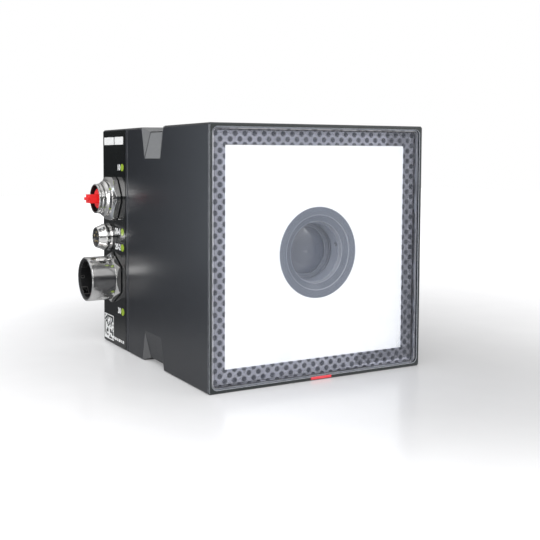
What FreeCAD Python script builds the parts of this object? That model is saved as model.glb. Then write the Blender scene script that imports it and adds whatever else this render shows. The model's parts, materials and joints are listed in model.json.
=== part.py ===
import FreeCAD
import Part
import math
import os
from FreeCAD import Vector

# Machine vision camera with a built-in square flash light.
# Millimetres. +Z is up, the light window faces -Y, the sockets face -X.
# The origin is the centre of the bottom face. Depths are measured from the
# front face backwards, and standouts from the left side face outwards.

# ---- housing ----
WIDTH = 100.0            # outside, along X
HEIGHT = 100.0           # outside, along Z
DEPTH = 107.0            # outside, along Y
REAR_LEN = 29.8          # length of the rear housing
SEAM_GAP = 0.8           # seal thickness, seen as a dark groove
SEAL_INSET = 0.6         # seal edge below the outside faces
WALL = 4.0               # side walls of both housings
REAR_WALL = 3.0          # closed back of the rear housing
LONG_EDGE = 0.7          # bevel of the four long edges
FACE_EDGE = 0.4          # bevel round the front and back faces
CAVITY_R = 2.5           # radius of the inner corners
POST_R = 5.5             # corner posts that take the screws
POST_INSET = 9.0         # post axis from the outside faces

# ---- clamp notches on the long edges ----
NOTCH_DEPTH = 50.0       # middle of a notch, from the front face
NOTCH_REACH = 13.4       # down each face, measured from the edge
NOTCH_SINK = 2.0         # depth of the inner line below both faces
NOTCH_HALF_EDGE = 11.2   # half length along the edge itself
NOTCH_HALF_FACE = 8.0    # half length at the shallow end
NOTCH_HALF_FLOOR = 6.0   # half length of the inner line

# ---- window and light ----
BORDER = 1.5             # visible rim of the housing round the window
WINDOW_CORNER_R = 2.2
WINDOW_SINK = 0.3        # window face below the housing's front face
WINDOW_T = 2.0
WINDOW_EDGE = 0.5        # polished bevel round the window
BEAD_T = 0.3             # sealing bead between window and housing
BEAD_SINK = 0.5
MASK_T = 1.0             # grey frame with the dotted border
LIGHT_INSET = 8.0        # from the outside faces to the bright field
DIFFUSER_T = 2.0
DIFFUSER_SINK = 0.1      # diffuser face behind the window's back
EDGE_GAP = 0.2           # assembly gap of parts that drop in
TRAY_DEPTH = 13.3        # light tray, front rim to its back
TRAY_FLOOR = 2.0
TRAY_SHELF = 1.0         # shelf that the diffuser's edge lies on
BOARD_T = 1.6
LED_SIZE = 3.0
LED_T = 1.2
LED_INSET = 15.0         # outermost emitters from the outside faces
LED_ROWS = 8
LED_CLEAR = 3.5          # no light emitter nearer than this to the hood

# ---- lens, on an axis along Y at half height ----
APERTURE_R = 18.0        # hole in the diffuser
HOOD_FACE_R = 14.8       # inner edge of the hood's flat face
HOOD_FACE_EDGE = 0.25    # height of the edge there
HOOD_LEDGE_R = 12.2      # inner edge of the sloping ledge
HOOD_LEDGE_SINK = 1.2    # ledge edge below the hood's face
HOOD_THROAT_R = 12.1     # throat behind the ledge
HOOD_THROAT_SINK = 3.2
HOOD_CONE_R = 11.7       # cone from the throat to the glass
HOOD_CONE_R2 = 11.0
HOOD_CONE_SINK = 6.1
HOOD_LIP = 0.8
HOOD_SHOULDER_R = 20.0
HOOD_BORE_R = 16.8       # room for the focus ring
HOOD_FLANGE_R = 23.0
HOOD_FLANGE_T = 2.0
LOCK_SCREW_R = 0.8
LOCK_SCREW_LEN = 4.0
LOCK_SCREW_SINK = 0.8    # screw below the cone's surface
LOCK_SCREW_DEPTH = 4.2   # below the hood's face
LOCK_SCREW_TURN = 11.7   # degrees above the +X direction
RING_R = 15.8            # focus ring, outside
RING_GAP = 0.5           # from the hood's lip to the ring
RING_LEN = 9.2
RING_LIP_R = 12.4
RING_LIP = 0.6
SLEEVE_R = 13.6          # fixed sleeve the ring turns on
RUN_CLEAR = 0.05         # radial running clearance
AXIAL_CLEAR = 0.4
BARREL_R = 15.0          # fixed barrel behind the ring
CELL_R = 11.5            # sliding cell that carries the glass
CELL_LEN = 12.0
CELL_FRONT_GAP = 1.2     # ring lip to cell at rest
GLASS_R = 10.6
GLASS_EDGE = 3.0
GLASS_BULGE = 0.9
RETAINER_T = 1.0
RETAINER_WALL = 1.0
REAR_GLASS_R = 8.0
CMOUNT_R = 12.7          # lens mount thread, 1 inch
CMOUNT_LEN = 4.0
FLANGE_FOCUS = 17.526    # mount face to image sensor

# ---- chassis and electronics ----
CHASSIS_DEPTH = 44.0
CHASSIS_T = 4.0          # flange of the camera block
CHASSIS_INSET_Z = 19.0   # flange edge from the bottom and top faces
LUG_WIDTH = 7.0
LUG_HEIGHT = 10.0
LUG_ROOT = 0.5           # lug sunk in the side wall
LUG_LEN = 14.0
LUG_INSET_Z = 26.0       # middle of the lugs from the bottom and top faces
LUG_SCREW_GRIP = 8.0
SCREW_M3_R = 1.5
SCREW_M3_AF = 5.5        # hexagon heads inside the housing
SCREW_M3_HEAD = 2.0
BLOCK_SIZE = 44.0
MOUNT_SINK = 3.0         # lens mount face below the flange's front
SENSOR_SIZE = 16.0
SENSOR_T = 1.4
SENSOR_BOARD = 40.0
MAIN_BOARD_INSET_X = 10.0
MAIN_BOARD_INSET_Z = 7.6
MAIN_BOARD_BACK = 26.0   # board's front from the back face
MAIN_BOARD_CHAMFER = 9.0
CHIP_SIZE = 27.0
CHIP_T = 2.4
SPREADER_SIZE = 32.0
STANDOFF_AF = 5.5
STANDOFF_INSET_X = 20.0
STANDOFF_INSET_Z = 12.0
FLEX_T = 0.4
FLEX_WIDTH = 14.0
FLEX_INSET_Z = 9.6       # light flex above the bottom face
HOUSING_SCREW_R = 2.0
HOUSING_SCREW_HEAD_R = 3.5
HOUSING_SCREW_HEAD = 4.0
HOUSING_SCREW_GRIP = 12.0
SCREW_HEX_AF = 3.0
SCREW_CLEAR = 0.25
HEAD_SINK = 0.5          # screw heads below the back face

# ---- left side: film, lights and sockets ----
FILM_T = 0.35
FILM_RECESS = 0.2
FILM_FRONT_BACK = 27.8   # film's front edge from the back face
FILM_BACK_BACK = 0.5     # film's rear edge from the back face
FILM_END = 0.6           # bare strip above and below the film
LIGHT_R = 1.65
LIGHT_BACK = 24.25       # row of lights from the back face
LIGHT_INSET_Z = 17.3     # outer lights from the bottom and top faces
LIGHT_DROP = 3.5         # inner lights below and above half height
LIGHT_RISE = 3.6
LIGHT_STAND = 0.3
LIGHT_LEN = 8.0
SOCKET_BACK = 13.0       # both large sockets, from the back face
UPPER_RISE = 18.45       # upper socket above half height
LOWER_DROP = 18.2        # lower socket below it
SMALL_BACK = 7.5
SMALL_RISE = 0.2
FIT = 0.05               # parts fixed in a bore
SEAT_T = 0.5             # flat seal under a hexagon
TAIL_LEN = 10.0          # threaded tail inside the side face
NUT_T = 3.0

UPPER_AF = 19.6
UPPER_TURNED_R = 10.6
UPPER_TAIL_R = 7.0
UPPER_NUT_AF = 18.0
UPPER_BORE_R = 5.05
UPPER_RIM_R = 6.7
UPPER_MOUTH_R = 6.0      # wider mouth in front of the bore
UPPER_MOUTH = 2.2
UPPER_STAND = 9.2
UPPER_SEAL_R = 9.2
UPPER_PINS = 4
UPPER_PIN_R = 0.5
UPPER_PIN_PCD = 5.0
UPPER_INSERT_FACE = 0.5

LOWER_AF = 20.2
LOWER_BARREL_R = 10.05
LOWER_TAIL_R = 8.0
LOWER_NUT_AF = 19.0
LOWER_BORE_R = 8.4
LOWER_STAND = 14.1
LOWER_LEAD = 1.0         # lead-in cone at the mouth of the plug bore
LOWER_SEAL_R = 9.6
LOWER_SEAT = 4.0         # standout of the shoulder the insert sits on
LOWER_POCKET_R = 8.0     # pocket of the insert, narrower than the plug bore
LOWER_INSERT_T = 1.5
LOWER_RIB = 1.0
LOWER_STEP = 0.1         # the plug bore starts this far in front of the ribs
LOWER_PINS = 4
LOWER_PIN_R = 0.9
LOWER_PIN_PCD = 9.0

SMALL_FLANGE_R = 6.45
SMALL_BODY_R = 6.1
SMALL_TAIL_R = 4.0
SMALL_BORE_R = 4.1
SMALL_STAND = 6.8
SMALL_FACE_SINK = 0.6    # insert face behind the rim
SMALL_PINS = 5
SMALL_PIN_R = 0.5
SMALL_PIN_PCD = 4.6

PLUG_R = 4.97            # stopper part inside the upper socket
PLUG_HEAD_R = 4.5        # head in the mouth of the socket
PLUG_HEAD_SINK = 1.2     # head behind the rim
PLUG_STAND = 12.4
PLUG_TAB = 3.9           # height of the grip tab
PLUG_TAB_WIDTH = 5.4
PLUG_RIDGE = 1.3         # height of the ridge on the tab's end
PLUG_RIDGE_STAND = 0.9

# ---- values that follow from the sizes above ----
FRONT_Y = -DEPTH / 2
SIDE_X = -WIDTH / 2
MID_Z = HEIGHT / 2
WINDOW_INSET = BORDER + BEAD_T
FRONT_DEPTH = DEPTH - REAR_LEN - SEAM_GAP
MASK_DEPTH = WINDOW_SINK + WINDOW_T
LEDGE_DEPTH = MASK_DEPTH + MASK_T
DIFFUSER_DEPTH = MASK_DEPTH + DIFFUSER_SINK
DIFFUSER_BACK = DIFFUSER_DEPTH + DIFFUSER_T
TRAY_BACK = LEDGE_DEPTH + TRAY_DEPTH
LED_BOARD_BACK = TRAY_BACK - TRAY_FLOOR
LED_BOARD_FRONT = LED_BOARD_BACK - BOARD_T
REAR_DEPTH = FRONT_DEPTH + SEAM_GAP
POST_X = WIDTH / 2 - POST_INSET
POST_Z = HEIGHT / 2 - POST_INSET
HOOD_LIP_BACK = DIFFUSER_DEPTH + HOOD_CONE_SINK + HOOD_LIP
RING_DEPTH = HOOD_LIP_BACK + RING_GAP
LIP_BACK = RING_DEPTH + RING_LIP
SLEEVE_FRONT = LIP_BACK + AXIAL_CLEAR
RING_BACK = RING_DEPTH + RING_LEN
BARREL_FRONT = RING_BACK + AXIAL_CLEAR
MOUNT_DEPTH = CHASSIS_DEPTH + MOUNT_SINK
CELL_FRONT = LIP_BACK + CELL_FRONT_GAP
CELL_BACK = CELL_FRONT + CELL_LEN
SENSOR_DEPTH = MOUNT_DEPTH + FLANGE_FOCUS
SENSOR_BOARD_DEPTH = SENSOR_DEPTH + SENSOR_T
BLOCK_BACK = SENSOR_BOARD_DEPTH + BOARD_T
BACK_INSIDE = DEPTH - REAR_WALL
MAIN_BOARD_DEPTH = DEPTH - MAIN_BOARD_BACK
FILM_FRONT = DEPTH - FILM_FRONT_BACK
FILM_BACK = DEPTH - FILM_BACK_BACK
LIGHT_DEPTH = DEPTH - LIGHT_BACK
SOCKET_DEPTH = DEPTH - SOCKET_BACK
SMALL_DEPTH = DEPTH - SMALL_BACK
UPPER_Z = MID_Z + UPPER_RISE
LOWER_Z = MID_Z - LOWER_DROP
SMALL_Z = MID_Z + SMALL_RISE
LIGHT_HEIGHTS = (LIGHT_INSET_Z, MID_Z - LIGHT_DROP, MID_Z + LIGHT_RISE, HEIGHT - LIGHT_INSET_Z)
STANDOFF_X = WIDTH / 2 - STANDOFF_INSET_X
STANDOFF_Z = HEIGHT / 2 - STANDOFF_INSET_Z
LUG_X = WIDTH / 2 - WALL - LUG_WIDTH / 2
LUG_Z = HEIGHT / 2 - LUG_INSET_Z
PLUG_INNER = UPPER_INSERT_FACE + 0.5
PLUG_HEAD_FACE = UPPER_STAND - PLUG_HEAD_SINK
UPPER_MOUTH_BACK = UPPER_STAND - UPPER_MOUTH
LOWER_FACE = LOWER_SEAT + LOWER_INSERT_T
LOWER_BORE_START = LOWER_FACE + LOWER_RIB + LOWER_STEP


# ---- shape helpers ----
def box(x0, x1, d0, d1, z0, z1):
    """Block between two X, two depths and two heights."""
    corner = Vector(x0, FRONT_Y + d0, z0)
    return Part.makeBox(x1 - x0, d1 - d0, z1 - z0, corner)


def slab(width, height, d0, d1):
    """Plate centred on the lens axis between two depths."""
    return box(-width / 2, width / 2, d0, d1, MID_Z - height / 2, MID_Z + height / 2)


def inset_slab(inset, d0, d1):
    """Plate that stays one distance inside all four outside faces."""
    return slab(WIDTH - 2 * inset, HEIGHT - 2 * inset, d0, d1)


def long_edges(shape):
    """Straight edges that run along Y."""
    found = []
    for edge in shape.Edges:
        a, b = edge.Vertexes[0].Point, edge.Vertexes[-1].Point
        if abs(a.x - b.x) < 1e-6 and abs(a.z - b.z) < 1e-6:
            found.append(edge)
    return found


def round_slab(width, height, d0, d1, radius):
    """Centred plate with rounded corners."""
    plate = slab(width, height, d0, d1)
    return plate.makeFillet(radius, long_edges(plate))


def round_inset_slab(inset, d0, d1, radius):
    """The same plate with rounded corners."""
    plate = inset_slab(inset, d0, d1)
    return plate.makeFillet(radius, long_edges(plate))


def face_edges(shape, depth):
    """Edges that lie in the plane at one depth."""
    found = []
    for edge in shape.Edges:
        if all(abs(v.Point.y - FRONT_Y - depth) < 1e-6 for v in edge.Vertexes):
            found.append(edge)
    return found


def bevelled_slab(d0, d1, face):
    """Length of the housing with bevelled long edges and one bevelled end."""
    body = inset_slab(0, d0, d1)
    body = body.makeChamfer(LONG_EDGE, long_edges(body))
    return body.makeChamfer(FACE_EDGE, face_edges(body, face))


def rod_y(radius, d0, d1, x=0.0, z=MID_Z):
    """Round bar along Y between two depths."""
    return Part.makeCylinder(radius, d1 - d0, Vector(x, FRONT_Y + d0, z), Vector(0, 1, 0))


def rod_x(radius, s0, s1, depth, z):
    """Round bar along X between two standouts from the side face."""
    start = Vector(SIDE_X - s0, FRONT_Y + depth, z)
    return Part.makeCylinder(radius, s1 - s0, start, Vector(-1, 0, 0))


def turned_y(profile, x=0.0, z=MID_Z):
    """Solid of revolution about an axis along Y from (radius, depth) points."""
    points = [Vector(x + r, FRONT_Y + d, z) for r, d in profile]
    wire = Part.makePolygon(points + points[:1])
    return Part.Face(wire).revolve(Vector(x, 0, z), Vector(0, 1, 0), 360)


def turned_x(profile, depth, z):
    """Solid of revolution about an axis along X from (radius, standout) points."""
    y = FRONT_Y + depth
    points = [Vector(SIDE_X - s, y, z + r) for r, s in profile]
    wire = Part.makePolygon(points + points[:1])
    return Part.Face(wire).revolve(Vector(0, y, z), Vector(1, 0, 0), 360)


def hexagon_x(across_flats, s0, s1, depth, z, turn):
    """Hexagonal bar along X; turn is the angle of a corner from +Y."""
    radius = across_flats / math.sqrt(3)
    y = FRONT_Y + depth
    points = []
    for k in range(6):
        angle = math.radians(turn + 60 * k)
        points.append(Vector(SIDE_X - s0, y + radius * math.cos(angle), z + radius * math.sin(angle)))
    wire = Part.makePolygon(points + points[:1])
    return Part.Face(wire).extrude(Vector(s0 - s1, 0, 0))


def hexagon_y(across_flats, d0, d1, x, z):
    """Hexagonal bar along Y between two depths."""
    radius = across_flats / math.sqrt(3)
    points = []
    for k in range(6):
        angle = math.radians(60 * k)
        points.append(Vector(x + radius * math.cos(angle), FRONT_Y + d0, z + radius * math.sin(angle)))
    wire = Part.makePolygon(points + points[:1])
    return Part.Face(wire).extrude(Vector(0, d1 - d0, 0))


def polyhedron(points, faces):
    """Closed solid from corner points and lists of corner numbers."""
    sides = []
    for face in faces:
        loop = [points[i] for i in face]
        sides.append(Part.Face(Part.makePolygon(loop + loop[:1])))
    return Part.Solid(Part.makeShell(sides))


def four_corners(x, z):
    """Centres of a pattern that is symmetric about the lens axis."""
    return [(sx * x, MID_Z + sz * z) for sx in (-1, 1) for sz in (-1, 1)]


def ring_points(count, pcd, turn=0.0):
    """Points of an even ring as (across, up) offsets."""
    step = 2 * math.pi / count
    radius = pcd / 2
    angles = [math.radians(turn) + step * k for k in range(count)]
    return [(radius * math.cos(a), radius * math.sin(a)) for a in angles]


def fuse(shapes):
    """One solid from several that touch."""
    return shapes[0].multiFuse(shapes[1:]).removeSplitter()


# ---- housing ----
def notch_cutter():
    """Wedge that opens one clamp notch in the upper left edge."""
    mid = FRONT_Y + NOTCH_DEPTH
    points = []
    for side in (-1, 1):
        edge_y = mid + side * NOTCH_HALF_EDGE
        face_y = mid + side * NOTCH_HALF_FACE
        floor_y = mid + side * NOTCH_HALF_FLOOR
        points.append(Vector(SIDE_X, edge_y, HEIGHT))
        points.append(Vector(SIDE_X, face_y, HEIGHT - NOTCH_REACH))
        points.append(Vector(SIDE_X + NOTCH_REACH, face_y, HEIGHT))
        points.append(Vector(SIDE_X + NOTCH_SINK, floor_y, HEIGHT - NOTCH_SINK))
    faces = [(0, 1, 5, 4), (0, 4, 6, 2), (1, 3, 7, 5), (2, 6, 7, 3)]
    faces += [(0, 3, 1), (0, 2, 3), (4, 5, 7), (4, 7, 6)]
    return polyhedron(points, faces)


def notch_cutters():
    """The four notches, mirrored across both middle planes."""
    upper_left = notch_cutter()
    upper = [upper_left, upper_left.mirror(Vector(0, 0, 0), Vector(1, 0, 0))]
    lower = [c.mirror(Vector(0, 0, MID_Z), Vector(0, 0, 1)) for c in upper]
    return upper + lower


def make_front_housing():
    body = bevelled_slab(0, FRONT_DEPTH, 0)
    rebate = round_inset_slab(BORDER, -1, LEDGE_DEPTH, WINDOW_CORNER_R)
    cavity = round_inset_slab(WALL, LEDGE_DEPTH - 1, FRONT_DEPTH + 1, CAVITY_R)
    body = body.cut(rebate).cut(cavity)
    posts = [rod_y(POST_R, TRAY_BACK, FRONT_DEPTH, x, z) for x, z in four_corners(POST_X, POST_Z)]
    lugs = []
    half_width = LUG_WIDTH / 2 + LUG_ROOT
    for x, z in four_corners(LUG_X + LUG_ROOT, LUG_Z):
        lugs.append(box(x - half_width, x + half_width, CHASSIS_DEPTH - LUG_LEN, CHASSIS_DEPTH,
                        z - LUG_HEIGHT / 2, z + LUG_HEIGHT / 2))
    body = fuse([body] + posts + lugs)
    for cutter in notch_cutters():
        body = body.cut(cutter)
    grip = HOUSING_SCREW_GRIP + 2
    for x, z in four_corners(POST_X, POST_Z):
        body = body.cut(rod_y(HOUSING_SCREW_R + FIT, FRONT_DEPTH - grip, FRONT_DEPTH + 1, x, z))
    for x, z in four_corners(LUG_X, LUG_Z):
        body = body.cut(rod_y(SCREW_M3_R + FIT, CHASSIS_DEPTH - LUG_SCREW_GRIP - 1, CHASSIS_DEPTH + 1, x, z))
    return body


def film_outline(depth_gap, stand0, stand1):
    """Flat block over the film area; a gap makes it larger all round."""
    x0, x1 = SIDE_X - stand1, SIDE_X - stand0
    z0, z1 = FILM_END - depth_gap, HEIGHT - FILM_END + depth_gap
    return box(x0, x1, FILM_FRONT - depth_gap, FILM_BACK + depth_gap, z0, z1)


def make_rear_housing():
    body = bevelled_slab(REAR_DEPTH, DEPTH, DEPTH)
    body = body.cut(round_inset_slab(WALL, REAR_DEPTH - 1, BACK_INSIDE, CAVITY_R))
    posts = [rod_y(POST_R, REAR_DEPTH, BACK_INSIDE + 1, x, z) for x, z in four_corners(POST_X, POST_Z)]
    body = fuse([body] + posts)
    seat = DEPTH - HEAD_SINK - HOUSING_SCREW_HEAD
    for x, z in four_corners(POST_X, POST_Z):
        body = body.cut(rod_y(HOUSING_SCREW_R + SCREW_CLEAR, REAR_DEPTH - 1, DEPTH + 1, x, z))
        body = body.cut(rod_y(HOUSING_SCREW_HEAD_R + SCREW_CLEAR, seat, DEPTH + 1, x, z))
    body = body.cut(film_outline(0.0, -FILM_RECESS, 1.0))
    body = body.cut(rod_x(UPPER_TAIL_R + FIT, -WALL - 1, 1, SOCKET_DEPTH, UPPER_Z))
    body = body.cut(rod_x(LOWER_TAIL_R + FIT, -WALL - 1, 1, SOCKET_DEPTH, LOWER_Z))
    body = body.cut(rod_x(SMALL_TAIL_R + FIT, -WALL - 1, 1, SMALL_DEPTH, SMALL_Z))
    for z in LIGHT_HEIGHTS:
        body = body.cut(rod_x(LIGHT_R + FIT, -WALL - 1, 1, LIGHT_DEPTH, z))
    return body


def make_housing_seal():
    ring = inset_slab(SEAL_INSET, FRONT_DEPTH, REAR_DEPTH)
    ring = ring.makeChamfer(LONG_EDGE, long_edges(ring))
    return ring.cut(round_inset_slab(WALL, FRONT_DEPTH - 1, REAR_DEPTH + 1, CAVITY_R))


def make_housing_screws():
    screws = []
    top = DEPTH - HEAD_SINK
    seat = top - HOUSING_SCREW_HEAD
    end = FRONT_DEPTH - HOUSING_SCREW_GRIP
    for x, z in four_corners(POST_X, POST_Z):
        head = rod_y(HOUSING_SCREW_HEAD_R, seat, top, x, z)
        screw = head.fuse(rod_y(HOUSING_SCREW_R, end, seat, x, z))
        screws.append(screw.cut(hexagon_y(SCREW_HEX_AF, top - 2, top + 1, x, z)))
    return Part.makeCompound(screws)


# ---- window and light ----
def make_window():
    pane = round_inset_slab(WINDOW_INSET, WINDOW_SINK, MASK_DEPTH, WINDOW_CORNER_R - BEAD_T)
    return pane.makeChamfer(WINDOW_EDGE, face_edges(pane, WINDOW_SINK))


def make_window_bead():
    outer = round_inset_slab(BORDER, BEAD_SINK + WINDOW_EDGE, LEDGE_DEPTH, WINDOW_CORNER_R)
    inner = round_inset_slab(WINDOW_INSET, 0, LEDGE_DEPTH + 1, WINDOW_CORNER_R - BEAD_T)
    return outer.cut(inner)


def make_border_mask():
    plate = round_inset_slab(WINDOW_INSET, MASK_DEPTH, LEDGE_DEPTH, WINDOW_CORNER_R - BEAD_T)
    return plate.cut(inset_slab(LIGHT_INSET, MASK_DEPTH - 1, LEDGE_DEPTH + 1))


def make_diffuser():
    plate = inset_slab(LIGHT_INSET + EDGE_GAP, DIFFUSER_DEPTH, DIFFUSER_BACK)
    return plate.cut(rod_y(APERTURE_R, 0, DIFFUSER_BACK + 1))


def make_light_tray():
    tray = round_inset_slab(WALL + EDGE_GAP, LEDGE_DEPTH, TRAY_BACK, CAVITY_R - EDGE_GAP)
    tray = tray.cut(inset_slab(LIGHT_INSET, 0, DIFFUSER_BACK))
    tray = tray.cut(inset_slab(LIGHT_INSET + TRAY_SHELF, 0, LED_BOARD_BACK))
    tray = tray.cut(rod_y(HOOD_SHOULDER_R + EDGE_GAP, 0, TRAY_BACK + 1))
    slot_half = FLEX_WIDTH / 2 + EDGE_GAP
    slot = box(-slot_half, slot_half, LED_BOARD_BACK - 1, TRAY_BACK + 1,
               FLEX_INSET_Z - EDGE_GAP, FLEX_INSET_Z + FLEX_T + EDGE_GAP)
    return tray.cut(slot).removeSplitter()


def make_led_board():
    board = inset_slab(LIGHT_INSET + TRAY_SHELF + EDGE_GAP, LED_BOARD_FRONT, LED_BOARD_BACK)
    return board.cut(rod_y(HOOD_SHOULDER_R + EDGE_GAP, 0, TRAY_BACK))


def make_light_emitters():
    keep_out = HOOD_SHOULDER_R + LED_CLEAR
    reach_x, reach_z = WIDTH / 2 - LED_INSET, HEIGHT / 2 - LED_INSET
    half = LED_SIZE / 2
    chips = []
    for i in range(LED_ROWS):
        for j in range(LED_ROWS):
            x = reach_x * (2 * i / (LED_ROWS - 1) - 1)
            z = reach_z * (2 * j / (LED_ROWS - 1) - 1)
            if math.hypot(x, z) < keep_out:
                continue
            z += MID_Z
            front = LED_BOARD_FRONT - LED_T
            chips.append(box(x - half, x + half, front, LED_BOARD_FRONT, z - half, z + half))
    return Part.makeCompound(chips)


# ---- lens ----
def make_lens_hood():
    face = DIFFUSER_DEPTH
    back = TRAY_BACK + HOOD_FLANGE_T
    outer = [(APERTURE_R - FIT, face), (APERTURE_R - FIT, DIFFUSER_BACK), (HOOD_SHOULDER_R, DIFFUSER_BACK)]
    outer += [(HOOD_SHOULDER_R, TRAY_BACK), (HOOD_FLANGE_R, TRAY_BACK), (HOOD_FLANGE_R, back)]
    inner = [(HOOD_BORE_R, back), (HOOD_BORE_R, HOOD_LIP_BACK), (HOOD_CONE_R2, HOOD_LIP_BACK)]
    inner += [(HOOD_CONE_R2, face + HOOD_CONE_SINK), (HOOD_CONE_R, face + HOOD_THROAT_SINK)]
    inner += [(HOOD_THROAT_R, face + HOOD_THROAT_SINK), (HOOD_LEDGE_R, face + HOOD_LEDGE_SINK)]
    inner += [(HOOD_FACE_R, face + HOOD_FACE_EDGE), (HOOD_FACE_R, face)]
    return turned_y(outer + inner).cut(radial_rod(LOCK_SCREW_R + FIT, HOOD_CONE_R2 - 1, APERTURE_R))


def radial_rod(radius, r0, r1):
    """Bar that points at the lens axis at the lock screw's place."""
    turn = math.radians(LOCK_SCREW_TURN)
    along = Vector(math.cos(turn), 0, math.sin(turn))
    centre = Vector(0, FRONT_Y + DIFFUSER_DEPTH + LOCK_SCREW_DEPTH, MID_Z)
    return Part.makeCylinder(radius, r1 - r0, centre + along * r0, along)


def make_hood_lock_screw():
    start = HOOD_CONE_R + LOCK_SCREW_SINK
    return radial_rod(LOCK_SCREW_R, start, start + LOCK_SCREW_LEN)


def make_focus_ring():
    bore = SLEEVE_R + RUN_CLEAR
    profile = [(RING_LIP_R, RING_DEPTH), (RING_R, RING_DEPTH), (RING_R, RING_BACK), (bore, RING_BACK)]
    profile += [(bore, LIP_BACK), (RING_LIP_R, LIP_BACK)]
    return turned_y(profile)


def make_lens_barrel():
    bore = CELL_R + RUN_CLEAR
    end = MOUNT_DEPTH + CMOUNT_LEN
    bore_end = CELL_BACK + CELL_FRONT_GAP
    profile = [(bore, SLEEVE_FRONT), (SLEEVE_R, SLEEVE_FRONT), (SLEEVE_R, BARREL_FRONT)]
    profile += [(BARREL_R, BARREL_FRONT), (BARREL_R, MOUNT_DEPTH), (CMOUNT_R - FIT, MOUNT_DEPTH)]
    profile += [(CMOUNT_R - FIT, end), (REAR_GLASS_R + FIT, end), (REAR_GLASS_R + FIT, bore_end)]
    profile += [(bore, bore_end)]
    return turned_y(profile)


def lens_glass(radius, edge_front, edge, bulge):
    """Lens with a domed front and a flat back."""
    dome_r = (radius ** 2 + bulge ** 2) / (2 * bulge)
    y = FRONT_Y + edge_front
    half = math.asin(radius / dome_r) / 2
    tip = Vector(0, y - bulge, MID_Z)
    rim = Vector(radius, y, MID_Z)
    middle = Vector(dome_r * math.sin(half), y - bulge + dome_r * (1 - math.cos(half)), MID_Z)
    back_rim = Vector(radius, y + edge, MID_Z)
    back_mid = Vector(0, y + edge, MID_Z)
    edges = [Part.Arc(tip, middle, rim).toShape(), Part.makeLine(rim, back_rim)]
    edges += [Part.makeLine(back_rim, back_mid), Part.makeLine(back_mid, tip)]
    return Part.Face(Part.Wire(edges)).revolve(Vector(0, 0, MID_Z), Vector(0, 1, 0), 360)


def make_lens_cell():
    seat = CELL_FRONT + RETAINER_T + GLASS_EDGE
    profile = [(GLASS_R + FIT, CELL_FRONT), (CELL_R, CELL_FRONT), (CELL_R, CELL_BACK)]
    profile += [(REAR_GLASS_R, CELL_BACK), (REAR_GLASS_R, seat), (GLASS_R + FIT, seat)]
    return turned_y(profile)


def make_front_lens():
    return lens_glass(GLASS_R, CELL_FRONT + RETAINER_T, GLASS_EDGE, GLASS_BULGE)


def make_lens_retainer():
    outer = GLASS_R
    inner = outer - RETAINER_WALL
    back = CELL_FRONT + RETAINER_T - 0.25
    return turned_y([(inner, CELL_FRONT), (outer, CELL_FRONT), (outer, back), (inner, back)])


def make_rear_lens():
    end = MOUNT_DEPTH + CMOUNT_LEN - 1
    return rod_y(REAR_GLASS_R, end - GLASS_EDGE, end)


# ---- chassis and electronics ----
def hex_head_screw(x, z, end, seat, head_side):
    """Screw along Y with a hexagon head on one side of its seat."""
    head_end = seat + head_side * SCREW_M3_HEAD
    head = hexagon_y(SCREW_M3_AF, min(seat, head_end), max(seat, head_end), x, z)
    return head.fuse(rod_y(SCREW_M3_R, min(end, seat), max(end, seat), x, z))


def make_chassis_screws():
    end = CHASSIS_DEPTH - LUG_SCREW_GRIP
    seat = CHASSIS_DEPTH + CHASSIS_T
    return Part.makeCompound([hex_head_screw(x, z, end, seat, 1) for x, z in four_corners(LUG_X, LUG_Z)])


def make_camera_block():
    flange = slab(WIDTH - 2 * (WALL + EDGE_GAP), HEIGHT - 2 * CHASSIS_INSET_Z,
                  CHASSIS_DEPTH, CHASSIS_DEPTH + CHASSIS_T)
    body = round_slab(BLOCK_SIZE, BLOCK_SIZE, CHASSIS_DEPTH, BLOCK_BACK, 3.0)
    block = fuse([flange, body])
    block = block.cut(rod_y(BARREL_R + 1, 0, MOUNT_DEPTH))
    block = block.cut(rod_y(CMOUNT_R, 0, MOUNT_DEPTH + CMOUNT_LEN + 1))
    pocket = SENSOR_BOARD + 2 * EDGE_GAP
    block = block.cut(slab(pocket, pocket, SENSOR_BOARD_DEPTH, BLOCK_BACK + 1))
    for x, z in four_corners(LUG_X, LUG_Z):
        block = block.cut(rod_y(SCREW_M3_R + SCREW_CLEAR, 0, BLOCK_BACK, x, z))
    chip = SENSOR_SIZE + 2 * EDGE_GAP
    return block.cut(slab(chip, chip, MOUNT_DEPTH, BLOCK_BACK))


def make_image_sensor():
    return slab(SENSOR_SIZE, SENSOR_SIZE, SENSOR_DEPTH, SENSOR_BOARD_DEPTH)


def make_sensor_board():
    return slab(SENSOR_BOARD, SENSOR_BOARD, SENSOR_BOARD_DEPTH, SENSOR_BOARD_DEPTH + BOARD_T)


def make_sensor_flex():
    half = FLEX_WIDTH / 2
    z = MID_Z + SENSOR_BOARD / 4
    return box(-half, half, SENSOR_BOARD_DEPTH + BOARD_T, MAIN_BOARD_DEPTH, z, z + FLEX_T)


def make_light_flex():
    half = FLEX_WIDTH / 2
    z = FLEX_INSET_Z
    return box(-half, half, LED_BOARD_BACK, MAIN_BOARD_DEPTH, z, z + FLEX_T)


def make_main_board():
    board = slab(WIDTH - 2 * MAIN_BOARD_INSET_X, HEIGHT - 2 * MAIN_BOARD_INSET_Z,
                 MAIN_BOARD_DEPTH, MAIN_BOARD_DEPTH + BOARD_T)
    board = board.makeChamfer(MAIN_BOARD_CHAMFER, long_edges(board))
    for x, z in four_corners(STANDOFF_X, STANDOFF_Z):
        board = board.cut(rod_y(SCREW_M3_R + SCREW_CLEAR, 0, DEPTH, x, z))
    return board


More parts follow.
